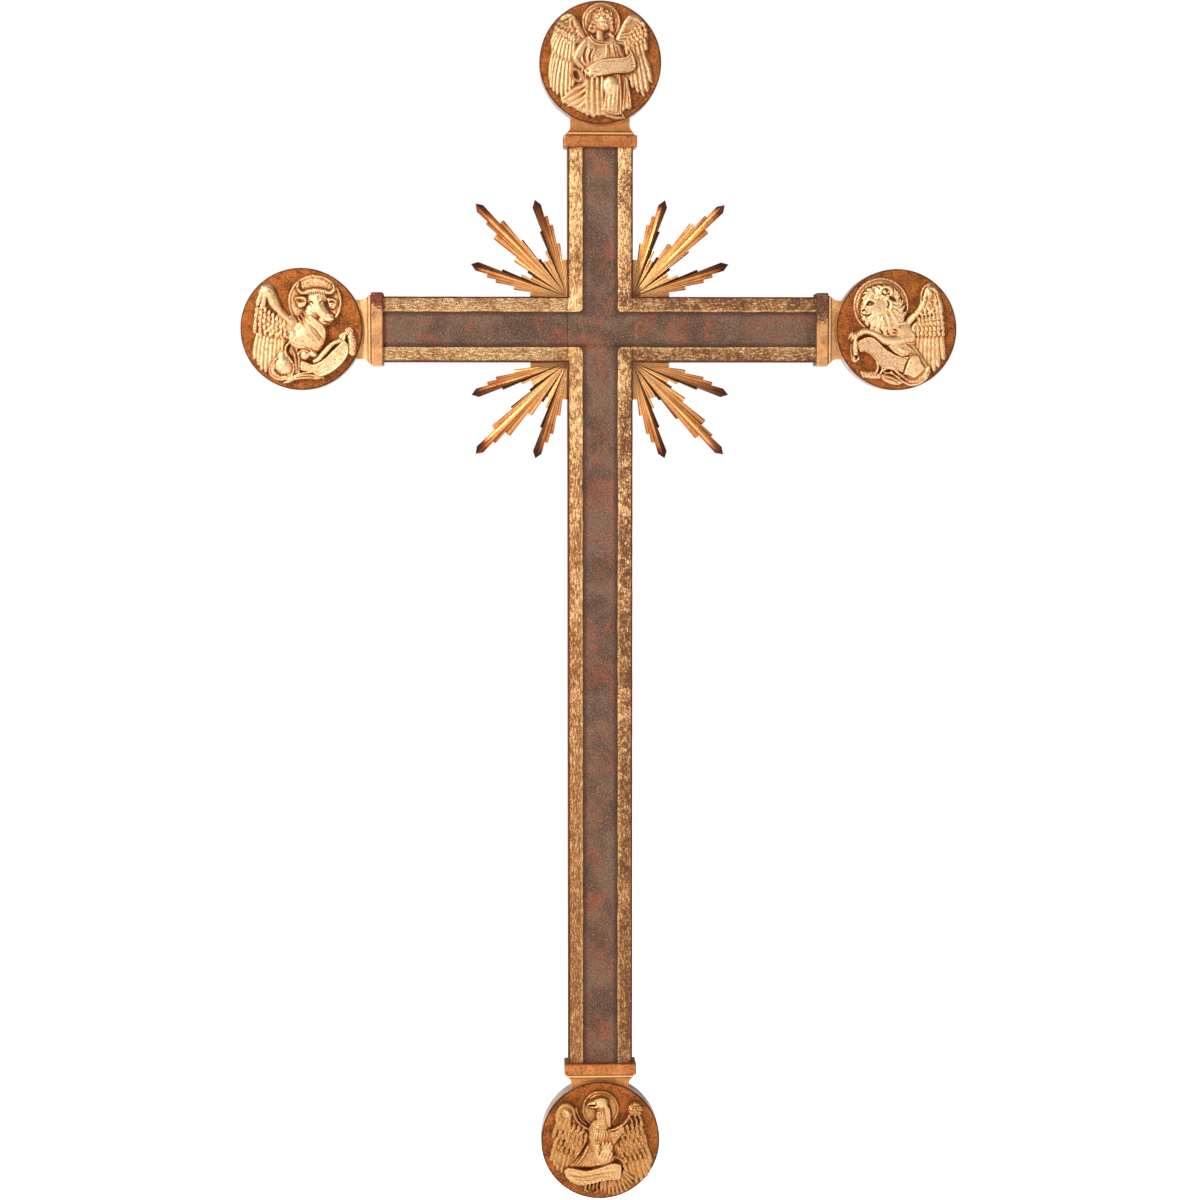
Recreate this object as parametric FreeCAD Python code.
import FreeCAD, Part

# A wall-hung altar cross of gilded wood, 1 m tall, carried on a keyhole plate let into its back.
#
# Two flat beams cross in a half lap. Their front is routed to a shallow channel that leaves a raised
# border along each edge. Every beam end carries a moulded cap, doweled on, and every cap carries a
# thick round medallion with a carved relief glued to its face: an angel at the top, an ox on the
# left, a lion on the right and an eagle at the foot. A fan of fluted rays fills each inner corner.
#
# Millimetres. +Z is up, +X is to the right seen from the front, and the front faces -Y. Every back
# is flush with the plane Y = 0. The origin is the centre of the keyhole's round entry hole.

import math
import os

Vector = FreeCAD.Vector

# ---- driving dimensions ----
BEAM_WIDTH = 54.0
BEAM_THICKNESS = 20.0
BORDER_WIDTH = 12.5
CHANNEL_DEPTH = 1.0
CHANNEL_CORNER_RADIUS = 3.5

CROSSING_BELOW_KEYHOLE = 105.0
# An arm's direction, in degrees from +X towards +Z, the distance from the crossing's centre to the
# centre of the arm's medallion, and the distance to the end of its beam.
ARMS = {
    "top": (90.0, 218.0, 149.0),
    "right": (0.0, 246.0, 179.0),
    "bottom": (270.0, 682.0, 616.0),
    "left": (180.0, 246.0, 179.0),
}

DISC_RADIUS = 50.0
DISC_THICKNESS = 22.0
DISC_EDGE_RADIUS = 0.7
RELIEF_DEPTH = 8.0

COLLAR_LENGTH = 10.0
COLLAR_WIDTH = 60.5
COLLAR_PROUD = 3.2         # in front of the beam
COLLAR_EDGE_RADIUS = 1.4
FILLET_LENGTH = 2.2        # the narrow step between collar and cove
FILLET_WIDTH = 56.0
FILLET_PROUD = 1.0
COVE_WIDTH = 54.5
COVE_THICKNESS = 20.4      # where it meets the step
COVE_LENGTH = 8.5
NECK_WIDTH = 48.5
NECK_THICKNESS = 18.8      # where it meets the medallion

DOWEL_RADIUS = 4.0
DOWEL_SPACING = 28.0
DOWEL_IN_BEAM = 30.0
DOWEL_IN_CAP = 12.0
DISC_DOWEL_IN_CAP = 13.0
DISC_DOWEL_IN_DISC = 16.0
GLUE_GAP = 0.1             # radial room round a dowel, and the room at each of its ends

RAY_BACK = 6.0             # distance of the rays' back from the cross's back
RAY_VALLEY = 11.0
RAY_RIDGE = 12.8
RAY_MAIN_RIDGE = 14.6
RAY_TIP_LENGTH = 5.0       # the tapered tip of a main ray
RAY_END_SLOPE = 0.6        # how far the ridge of any other flute stands out past its end
# The flutes of a fan in order: the angle of a flute's far edge from the fan's first beam, in
# degrees, and its length. The last third of the fan mirrors the flutes beside the first beam.
MAIN_RAYS = (84.0, 107.5)
BEAM_SIDE_FLUTES = [(3.9, 31.0), (7.8, 31.0), (11.4, 45.0), (13.7, 61.0), (16.0, 69.0),
                    (21.3, MAIN_RAYS[0]), (23.1, 58.5), (26.0, 42.0), (31.2, 34.0)]
DIAGONAL_FLUTES = [(33.7, 39.0), (38.1, 53.5), (41.8, 78.0), (43.2, 90.5),
                   (47.3, MAIN_RAYS[1]), (50.1, 82.5), (52.1, 60.0), (54.8, 39.0), (58.8, 35.0)]

RAY_PIN_RADIUS = 0.8
RAY_PIN_OUT = 12.0         # length of a pin inside the rays
RAY_PIN_IN = 9.0           # and inside the upright
RAY_PIN_PLACES = (7.0, 16.0)   # distances from the cross beam's edge

LAP_SCREW_OFFSET = 15.0
LAP_SCREW_LENGTH = 15.0
HANGER_WIDTH = 22.0
HANGER_HEIGHT = 62.0
HANGER_THICKNESS = 2.0
HANGER_INLET_GAP = 0.15
HANGER_SCREW_OFFSET = 24.0
HANGER_CENTRE_ABOVE_ENTRY = 4.0
HANGER_SCREW_LENGTH = 14.0
KEYHOLE_RADIUS = 5.0
KEYHOLE_SLOT_RADIUS = 2.5
KEYHOLE_SLOT_TOP = 10.0    # centre of the slot's round end above the entry hole
POCKET_RADIUS = 5.1
POCKET_DEPTH = 7.0         # below the plate
SCREW_SHANK_RADIUS = 1.5
SCREW_HEAD_RADIUS = 3.2
SCREW_HEAD_DEPTH = 1.8
SCREW_POINT_LENGTH = 3.0
SCREW_POINT_RADIUS = 0.3
SCREW_GAP = 0.05
RECESS_REACH = 1.9
RECESS_HALF_WIDTH = 0.45
RECESS_DEPTH = 1.1

# ---- reliefs ----
# Each is a stack of shapes on the medallion's face, at (x, z) from its centre, with the height that
# each stands above the face: a round halo, smooth closed outlines, and a domed head.
HALO_HEIGHT = 2.6
HALO_RIM_WIDTH = 1.8
HALO_RIM_HEIGHT = 0.8
WING_HEIGHT = 4.4
SCROLL_HEIGHT = 6.6
BODY_HEIGHT = 7.4
ANGEL_OUTLINES = [
    (WING_HEIGHT, [(-15, 22), (-19, 34), (-25, 39.5), (-33, 35), (-39, 25), (-41, 10), (-41, -8),
                   (-39, -22), (-33, -28), (-24, -22), (-19, -6)]),
    (WING_HEIGHT, [(12, 18), (19, 32), (25, 37.5), (33, 33), (37, 19), (38, 4), (41, -14),
                   (35, -26), (26, -21), (19, -10)]),
    (BODY_HEIGHT, [(-13, 21), (-22, 9), (-24, -1), (-17, -12), (-21, -24), (-31, -32),
                   (-24, -37), (-12, -42), (3, -46), (16, -47), (24, -38), (21, -22), (19, -10),
                   (17, 4), (11, 17), (0, 20)]),
    (SCROLL_HEIGHT, [(-11, -5), (0, 2), (14, 4), (26, 8), (28, -2), (24, -9), (6, -10), (-6, -14)]),
]
OX_OUTLINES = [
    (WING_HEIGHT, [(-5, 8), (-16, 18), (-20, 31), (-28, 37), (-36, 32), (-37, 18), (-39, 0),
                   (-37, -15), (-39, -23), (-32, -34), (-23, -30), (-18, -16), (-9, -6)]),
    (BODY_HEIGHT, [(3, 20), (-4, 9), (-10, -4), (-13, -17), (-23, -26), (-27, -34), (-20, -41),
                   (-8, -43), (6, -42), (17, -41), (14, -27), (21, -17), (22, 0), (27, 8),
                   (22, 24), (11, 29)]),
    (SCROLL_HEIGHT, [(-1, -26), (12, -27), (25, -17), (32, -6), (38, 1.5), (43.5, -5), (43, -17),
                     (34, -25), (25, -33), (13, -39), (-1, -36)]),
]
LION_OUTLINES = [
    (WING_HEIGHT, [(8, 11), (15, 15), (19, 28), (25, 37.5), (34, 33), (38, 19), (38.5, 0),
                   (39, -23), (31, -32), (22, -27), (12, -16), (5, -7)]),
    (BODY_HEIGHT, [(-28, 27), (-19, 35), (-8, 37), (2, 28), (8, 12), (6, 4), (14, -12), (27, -30),
                   (19, -43), (4, -45.5), (-14, -41), (-29, -36), (-16, -32), (-8, -22), (-20, -11),
                   (-38, -8), (-36, -1), (-22, 0), (-27, 8), (-29, 17)]),
    (SCROLL_HEIGHT, [(-38, -12), (-24, -6), (-14, -9), (0, -20), (10, -23), (4, -34), (-9, -31),
                     (-19, -22), (-30, -20), (-34, -27), (-37, -24)]),
]
EAGLE_OUTLINES = [
    (WING_HEIGHT, [(-9, 8), (-19, 14), (-21, 26), (-28, 32), (-36, 27), (-39, 10), (-42, -12),
                   (-39, -23), (-31, -27), (-20, -18), (-10, -5)]),
    (WING_HEIGHT, [(4, 8), (15, 11), (23, 21), (24, 30), (30, 32), (36, 20), (39, -2), (42, -20),
                   (36, -33), (26, -32), (15, -18), (8, -5)]),
    (BODY_HEIGHT, [(-8, 18), (-3, 28), (4, 27), (7, 12), (11, -4), (13, -19), (24, -27), (26, -37),
                   (16, -43), (2, -44), (-10, -41), (-14, -30), (-21, -22), (-13, -6), (-9, 5)]),
    (SCROLL_HEIGHT, [(-29, -23), (-12, -26), (0, -23), (13, -19), (17, -27), (14, -35), (-4, -36),
                     (-18, -39), (-30, -33)]),
]
# An arm's relief: its name, the halo's centre and radius, the head's centre and radius, outlines.
RELIEFS = {
    "top": ("relief_angel", (0.5, 32.5), 16.4, (1.5, 32.0), 7.5, ANGEL_OUTLINES),
    "left": ("relief_ox", (11.0, 22.5), 22.4, (13.0, 18.0), 11.0, OX_OUTLINES),
    "right": ("relief_lion", (-12.8, 19.7), 23.4, (-13.0, 17.0), 13.0, LION_OUTLINES),
    "bottom": ("relief_eagle", (0.0, 26.0), 16.2, (-1.0, 27.0), 6.5, EAGLE_OUTLINES),
}

# ---- worked out ----
CROSSING_Z = -CROSSING_BELOW_KEYHOLE
HALF_BEAM = BEAM_WIDTH / 2
HALF_CHANNEL = HALF_BEAM - BORDER_WIDTH
MID_DEPTH = BEAM_THICKNESS / 2
HANGER_SCREWS = [(0.0, HANGER_CENTRE_ABOVE_ENTRY + side * HANGER_SCREW_OFFSET) for side in (-1, 1)]
LAP_SCREWS = [(x, CROSSING_Z + z) for x in (-LAP_SCREW_OFFSET, LAP_SCREW_OFFSET)
              for z in (-LAP_SCREW_OFFSET, LAP_SCREW_OFFSET)]


def save(name, shape):
    """Write one node, and stop if a solid in it isn't sound."""
    solids = shape.Solids
    if not solids or not all(s.isValid() and s.Volume > 0 for s in solids):
        raise ValueError(f"{name} has an unsound solid")
    shape = solids[0] if len(solids) == 1 else Part.makeCompound(solids)
    shape.exportStep(f"parts/{name}.step")
    print(f"{name}: {len(solids)} solid(s), {shape.Volume / 1000:.2f} cm3")


def block(x0, x1, y0, y1, z0, z1):
    return Part.makeBox(x1 - x0, y1 - y0, z1 - z0, Vector(x0, y0, z0))


def rod(radius, start, end):
    start, end = Vector(*start), Vector(*end)
    return Part.makeCylinder(radius, (end - start).Length, start, end - start)


def turned(shape, degrees):
    """Turn a shape made about the crossing's centre, from +X towards +Z, and lift it there."""
    placed = shape.copy()
    placed.rotate(Vector(0, 0, 0), Vector(0, 1, 0), -degrees)
    placed.translate(Vector(0, 0, CROSSING_Z))
    return placed


def on_arm(shape, arm):
    """Put a shape made along +X from the crossing's centre onto an arm."""
    return turned(shape, ARMS[arm][0])


# ---- beams ----
def channel_tool():
    """The cross-shaped channel of the front, with the borders' inner corners rounded."""
    front, back = -BEAM_THICKNESS - 1, -BEAM_THICKNESS + CHANNEL_DEPTH
    strips = [on_arm(block(-1, reach + 1, front, back, -HALF_CHANNEL, HALF_CHANNEL), arm)
              for arm, (_, _, reach) in ARMS.items()]
    low, high = HALF_CHANNEL - 1, HALF_CHANNEL + CHANNEL_CORNER_RADIUS
    corner = block(low, high, front, back, low, high).cut(
        rod(CHANNEL_CORNER_RADIUS, (high, front - 1, high), (high, back + 1, high)))
    corners = [on_arm(corner, arm) for arm in ARMS]
    return strips[0].fuse([*strips[1:], *corners]).removeSplitter()


def cap_dowels(arm, radius, end_gap):
    """The two dowels that join a cap to its beam, or their holes when end_gap is nothing."""
    joint = ARMS[arm][2]
    rods = [rod(radius, (joint - DOWEL_IN_BEAM + end_gap, -MID_DEPTH, z),
                (joint + DOWEL_IN_CAP - end_gap, -MID_DEPTH, z))
            for z in (-DOWEL_SPACING / 2, DOWEL_SPACING / 2)]
    return on_arm(Part.makeCompound(rods), arm)


def screw_solid(x, z, length, gap):
    """A countersunk screw driven from the back, or its hole when gap is given."""
    shank = SCREW_SHANK_RADIUS + gap
    shank_end = length - SCREW_POINT_LENGTH
    head = Part.makeCone(SCREW_HEAD_RADIUS + gap, shank, SCREW_HEAD_DEPTH,
                         Vector(x, 0, z), Vector(0, -1, 0))
    point = Part.makeCone(shank, SCREW_POINT_RADIUS + gap, SCREW_POINT_LENGTH + gap,
                          Vector(x, -shank_end, z), Vector(0, -1, 0))
    return head.fuse([rod(shank, (x, -SCREW_HEAD_DEPTH, z), (x, -shank_end, z)), point])


def screw_holes(places, length):
    return [screw_solid(x, z, length, SCREW_GAP) for x, z in places]


def screws(places, length):
    """Countersunk screws with a cross recess in each head."""
    made = []
    for x, z in places:
        recess = [block(x - wide, x + wide, -RECESS_DEPTH, 1, z - tall, z + tall)
                  for wide, tall in ((RECESS_REACH, RECESS_HALF_WIDTH),
                                     (RECESS_HALF_WIDTH, RECESS_REACH))]
        made.append(screw_solid(x, z, length, 0.0).cut(recess))
    return Part.makeCompound(made)


def hanger_outline(grow):
    """The round-ended plate, or the inlet that takes it when grow is given."""
    half = HANGER_WIDTH / 2 + grow
    reach = (HANGER_HEIGHT - HANGER_WIDTH) / 2
    ends = [HANGER_CENTRE_ABOVE_ENTRY - reach, HANGER_CENTRE_ABOVE_ENTRY + reach]
    plate = block(-half, half, -HANGER_THICKNESS, 0, *ends)
    return plate.fuse([rod(half, (0, -HANGER_THICKNESS, z), (0, 0, z)) for z in ends])


def keyhole_tool(entry_radius, slot_radius, y_deep, y_out):
    """A keyhole: the round entry, and the slot that rises from it."""
    entry = rod(entry_radius, (0, y_deep, 0), (0, y_out, 0))
    slot = block(-slot_radius, slot_radius, y_deep, y_out, 0, KEYHOLE_SLOT_TOP)
    slot_end = rod(slot_radius, (0, y_deep, KEYHOLE_SLOT_TOP), (0, y_out, KEYHOLE_SLOT_TOP))
    return entry.fuse([slot, slot_end]).removeSplitter()


def hanger_inlet():
    """The recess in the upright's back for the plate, and the pocket for a wall screw's head."""
    pocket = keyhole_tool(POCKET_RADIUS, POCKET_RADIUS, -HANGER_THICKNESS - POCKET_DEPTH, 0)
    return hanger_outline(HANGER_INLET_GAP).fuse(pocket)


def hanger_plate():
    hole = keyhole_tool(KEYHOLE_RADIUS, KEYHOLE_SLOT_RADIUS, -HANGER_THICKNESS - 1, 1)
    plate = hanger_outline(0.0).removeSplitter()
    return plate.cut([hole, *screw_holes(HANGER_SCREWS, HANGER_SCREW_LENGTH)])


def ray_pins(arm, gap):
    """The headless pins in both sides of the upright, on one arm, that hold two ray fans."""
    depth = (RAY_BACK + RAY_VALLEY) / 2
    rods = [rod(RAY_PIN_RADIUS + gap,
                (HALF_BEAM + place, -depth, side * (HALF_BEAM - RAY_PIN_IN - gap)),
                (HALF_BEAM + place, -depth, side * (HALF_BEAM + RAY_PIN_OUT + gap)))
            for side in (-1, 1) for place in RAY_PIN_PLACES]
    return on_arm(Part.makeCompound(rods), arm)


def upright_beam():
    beam = block(-HALF_BEAM, HALF_BEAM, -BEAM_THICKNESS, 0,
                 CROSSING_Z - ARMS["bottom"][2], CROSSING_Z + ARMS["top"][2])
    lap = block(-HALF_BEAM - 1, HALF_BEAM + 1, -MID_DEPTH, 1,
                CROSSING_Z - HALF_BEAM, CROSSING_Z + HALF_BEAM)
    return beam.cut([lap, channel_tool(), hanger_inlet(),
                     *[cap_dowels(arm, DOWEL_RADIUS + GLUE_GAP, 0) for arm in ("top", "bottom")],
                     *[ray_pins(arm, SCREW_GAP) for arm in ("top", "bottom")],
                     *screw_holes(LAP_SCREWS, LAP_SCREW_LENGTH),
                     *screw_holes(HANGER_SCREWS, HANGER_SCREW_LENGTH)])


def cross_beam():
    beam = block(-ARMS["left"][2], ARMS["right"][2], -BEAM_THICKNESS, 0,
                 CROSSING_Z - HALF_BEAM, CROSSING_Z + HALF_BEAM)
    lap = block(-HALF_BEAM, HALF_BEAM, -BEAM_THICKNESS - 1, -MID_DEPTH,
                CROSSING_Z - HALF_BEAM - 1, CROSSING_Z + HALF_BEAM + 1)
    return beam.cut([lap, channel_tool(),
                     *[cap_dowels(arm, DOWEL_RADIUS + GLUE_GAP, 0) for arm in ("left", "right")],
                     *screw_holes(LAP_SCREWS, LAP_SCREW_LENGTH)])


# ---- caps and medallions ----
def hollow_curve(start, end, at):
    """A concave arc from start to end, both (along, half): quick to fall, then level."""
    along = start[0] + (end[0] - start[0]) * 0.3
    half = end[1] + (start[1] - end[1]) * 0.32
    return Part.Arc(at(*start), at(along, half), at(*end)).toShape()


def neck(arm):
    """The neck between collar and medallion, hollowed on both sides and on its front."""
    start = ARMS[arm][2] + COLLAR_LENGTH + FILLET_LENGTH
    end = start + COVE_LENGTH
    tail = ARMS[arm][1] - DISC_RADIUS / 2

    def above(x, half):
        return Vector(x, 0, half)

    def below(x, half):
        return Vector(x, 0, -half)

    def front(x, depth):
        return Vector(x, -depth, -COLLAR_WIDTH)

    wide, narrow = (start, COVE_WIDTH / 2), (end, NECK_WIDTH / 2)
    plan = Part.Wire([
        hollow_curve(wide, narrow, above),
        Part.makeLine(above(*narrow), above(tail, narrow[1])),
        Part.makeLine(above(tail, narrow[1]), below(tail, narrow[1])),
        Part.makeLine(below(tail, narrow[1]), below(*narrow)),
        hollow_curve(wide, narrow, below),
        Part.makeLine(below(*wide), above(*wide))])
    thick, thin = (start, COVE_THICKNESS), (end, NECK_THICKNESS)
    profile = Part.Wire([
        hollow_curve(thick, thin, front),
        Part.makeLine(front(*thin), front(tail, NECK_THICKNESS)),
        Part.makeLine(front(tail, NECK_THICKNESS), front(tail, 0)),
        Part.makeLine(front(tail, 0), front(start, 0)),
        Part.makeLine(front(start, 0), front(*thick))])
    in_plan = Part.Face(plan).extrude(Vector(0, -2 * BEAM_THICKNESS, 0))
    in_profile = Part.Face(profile).extrude(Vector(0, 0, 2 * COLLAR_WIDTH))
    return in_plan.common(in_profile)


def collar(arm):
    start = ARMS[arm][2]
    end = start + COLLAR_LENGTH
    band = block(start, end, -BEAM_THICKNESS - COLLAR_PROUD, 0,
                 -COLLAR_WIDTH / 2, COLLAR_WIDTH / 2)
    band = band.makeFillet(COLLAR_EDGE_RADIUS, [e for e in band.Edges if e.BoundBox.YMin < -1])
    step = block(end, end + FILLET_LENGTH, -BEAM_THICKNESS - FILLET_PROUD, 0,
                 -FILLET_WIDTH / 2, FILLET_WIDTH / 2)
    return band.fuse(step)


def disc_dowel(arm, radius, end_gap):
    edge = ARMS[arm][1] - DISC_RADIUS
    return on_arm(rod(radius, (edge - DISC_DOWEL_IN_CAP + end_gap, -MID_DEPTH, 0),
                      (edge + DISC_DOWEL_IN_DISC - end_gap, -MID_DEPTH, 0)), arm)


def cap(arm):
    centre = ARMS[arm][1]
    body = collar(arm).fuse(neck(arm)).cut(
        rod(DISC_RADIUS, (centre, 1, 0), (centre, -DISC_THICKNESS - 1, 0)))
    return on_arm(body.removeSplitter(), arm).cut(
        [cap_dowels(arm, DOWEL_RADIUS + GLUE_GAP, 0), disc_dowel(arm, DOWEL_RADIUS + GLUE_GAP, 0)])


def medallion_disc(arm):
    centre = ARMS[arm][1]
    disc = rod(DISC_RADIUS, (centre, 0, 0), (centre, -DISC_THICKNESS, 0))
    disc = disc.makeFillet(DISC_EDGE_RADIUS, [e for e in disc.Edges if e.BoundBox.YMax < -1])
    return on_arm(disc, arm).cut(disc_dowel(arm, DOWEL_RADIUS + GLUE_GAP, 0))


# ---- reliefs ----
def relief(arm):
    """The carving on a medallion, one piece, glued flat to the disc's face."""
    _, halo_centre, halo_radius, head_centre, head_radius, outlines = RELIEFS[arm]
    angle = math.radians(ARMS[arm][0])
    centre = Vector(ARMS[arm][1] * math.cos(angle), -DISC_THICKNESS,
                    CROSSING_Z + ARMS[arm][1] * math.sin(angle))

    def at(x, z, height=0.0):
        return centre + Vector(x, -height, z)

    halo = rod(halo_radius, at(*halo_centre), at(*halo_centre, HALO_HEIGHT))
    hollow = rod(halo_radius - HALO_RIM_WIDTH, at(*halo_centre, HALO_HEIGHT - HALO_RIM_HEIGHT),
                 at(*halo_centre, HALO_HEIGHT + 1))
    shapes = [halo.cut(hollow)]
    for height, points in outlines:
        curve = Part.BSplineCurve()
        curve.interpolate([at(x, z) for x, z in points], PeriodicFlag=True)
        shapes.append(Part.Face(Part.Wire(curve.toShape())).extrude(Vector(0, -height, 0)))
    head = Part.makeSphere(head_radius, at(*head_centre))
    head_room = rod(head_radius + 1, at(*head_centre), at(*head_centre, RELIEF_DEPTH))
    return shapes[0].fuse([*shapes[1:], head.common(head_room)]).removeSplitter()


# ---- rays ----
def fan_flutes():
    """A fan's flutes as (near edge, far edge, length), from its first beam to its second."""
    flutes, near = [], 0.0
    for far, length in [*BEAM_SIDE_FLUTES, *DIAGONAL_FLUTES]:
        flutes.append((near, far, length))
        near = far
    mirrored = [(90.0 - far, 90.0 - near, length)
                for near, far, length in reversed(flutes[:len(BEAM_SIDE_FLUTES)])]
    return flutes + mirrored


def flute_shoulder(length):
    """How far out a flute's two edges reach."""
    return max(0.0, length - (RAY_TIP_LENGTH if length in MAIN_RAYS else RAY_END_SLOPE))


def ray_fan(quarter_turns):
    """One fan of rays: flutes that spread from the inner corner, each rising to a ridge.

    The fan is made in the upper left corner, from the left arm round to the top arm, and turned
    clockwise about the crossing by whole quarter turns.
    """
    corner = Vector(-HALF_BEAM, 0, HALF_BEAM)

    def at(degrees, distance, depth):
        angle = math.radians(degrees)
        return corner + Vector(-distance * math.cos(angle), -depth, distance * math.sin(angle))

    flutes = fan_flutes()
    shoulders = [0.0, *[flute_shoulder(length) for _, _, length in flutes], 0.0]
    faces = []

    def add(*points):
        faces.append(Part.Face(Part.makePolygon([*points, points[0]])))

    for number, (near, far, length) in enumerate(flutes):
        before, own, after = shoulders[number:number + 3]
        middle = (near + far) / 2
        ridge = at(middle, length, RAY_MAIN_RIDGE if length in MAIN_RAYS else RAY_RIDGE)
        foot = at(middle, length, RAY_BACK)
        for edge, beside in ((near, before), (far, after)):
            stops = [0.0, beside, own] if 0.0 < beside < own else [0.0, own]
            valley = [at(edge, stop, RAY_VALLEY) for stop in stops]
            base = [at(edge, stop, RAY_BACK) for stop in stops]
            add(*valley, ridge)
            add(*base, foot)
            add(base[-1], valley[-1], ridge, foot)
            if beside < own:
                add(base[-2], valley[-2], valley[-1], base[-1])
    shell = Part.makeShell(faces)
    shell.sewShape()
    fan = Part.Solid(shell)
    if fan.Volume < 0:
        fan.reverse()
    return turned(fan, -90.0 * quarter_turns)


if __name__ == "__main__":
    os.makedirs("parts", exist_ok=True)
    save("upright_beam", upright_beam())
    save("cross_beam", cross_beam())
    for arm_name, relief_row in RELIEFS.items():
        save(f"cap_{arm_name}", cap(arm_name))
        save(f"cap_dowels_{arm_name}", cap_dowels(arm_name, DOWEL_RADIUS, GLUE_GAP))
        save(f"medallion_{arm_name}", medallion_disc(arm_name))
        save(f"medallion_dowel_{arm_name}", disc_dowel(arm_name, DOWEL_RADIUS, GLUE_GAP))
        save(relief_row[0], relief(arm_name))
    pin_holes = [ray_pins("top", SCREW_GAP), ray_pins("bottom", SCREW_GAP)]
    for turns, corner_name in enumerate(("upper_left", "upper_right", "lower_right", "lower_left")):
        save(f"rays_{corner_name}", ray_fan(turns).cut(pin_holes))
    save("ray_pins", Part.makeCompound([ray_pins("top", 0.0), ray_pins("bottom", 0.0)]))
    save("lap_screws", screws(LAP_SCREWS, LAP_SCREW_LENGTH))
    save("hanger_plate", hanger_plate())
    save("hanger_screws", screws(HANGER_SCREWS, HANGER_SCREW_LENGTH))
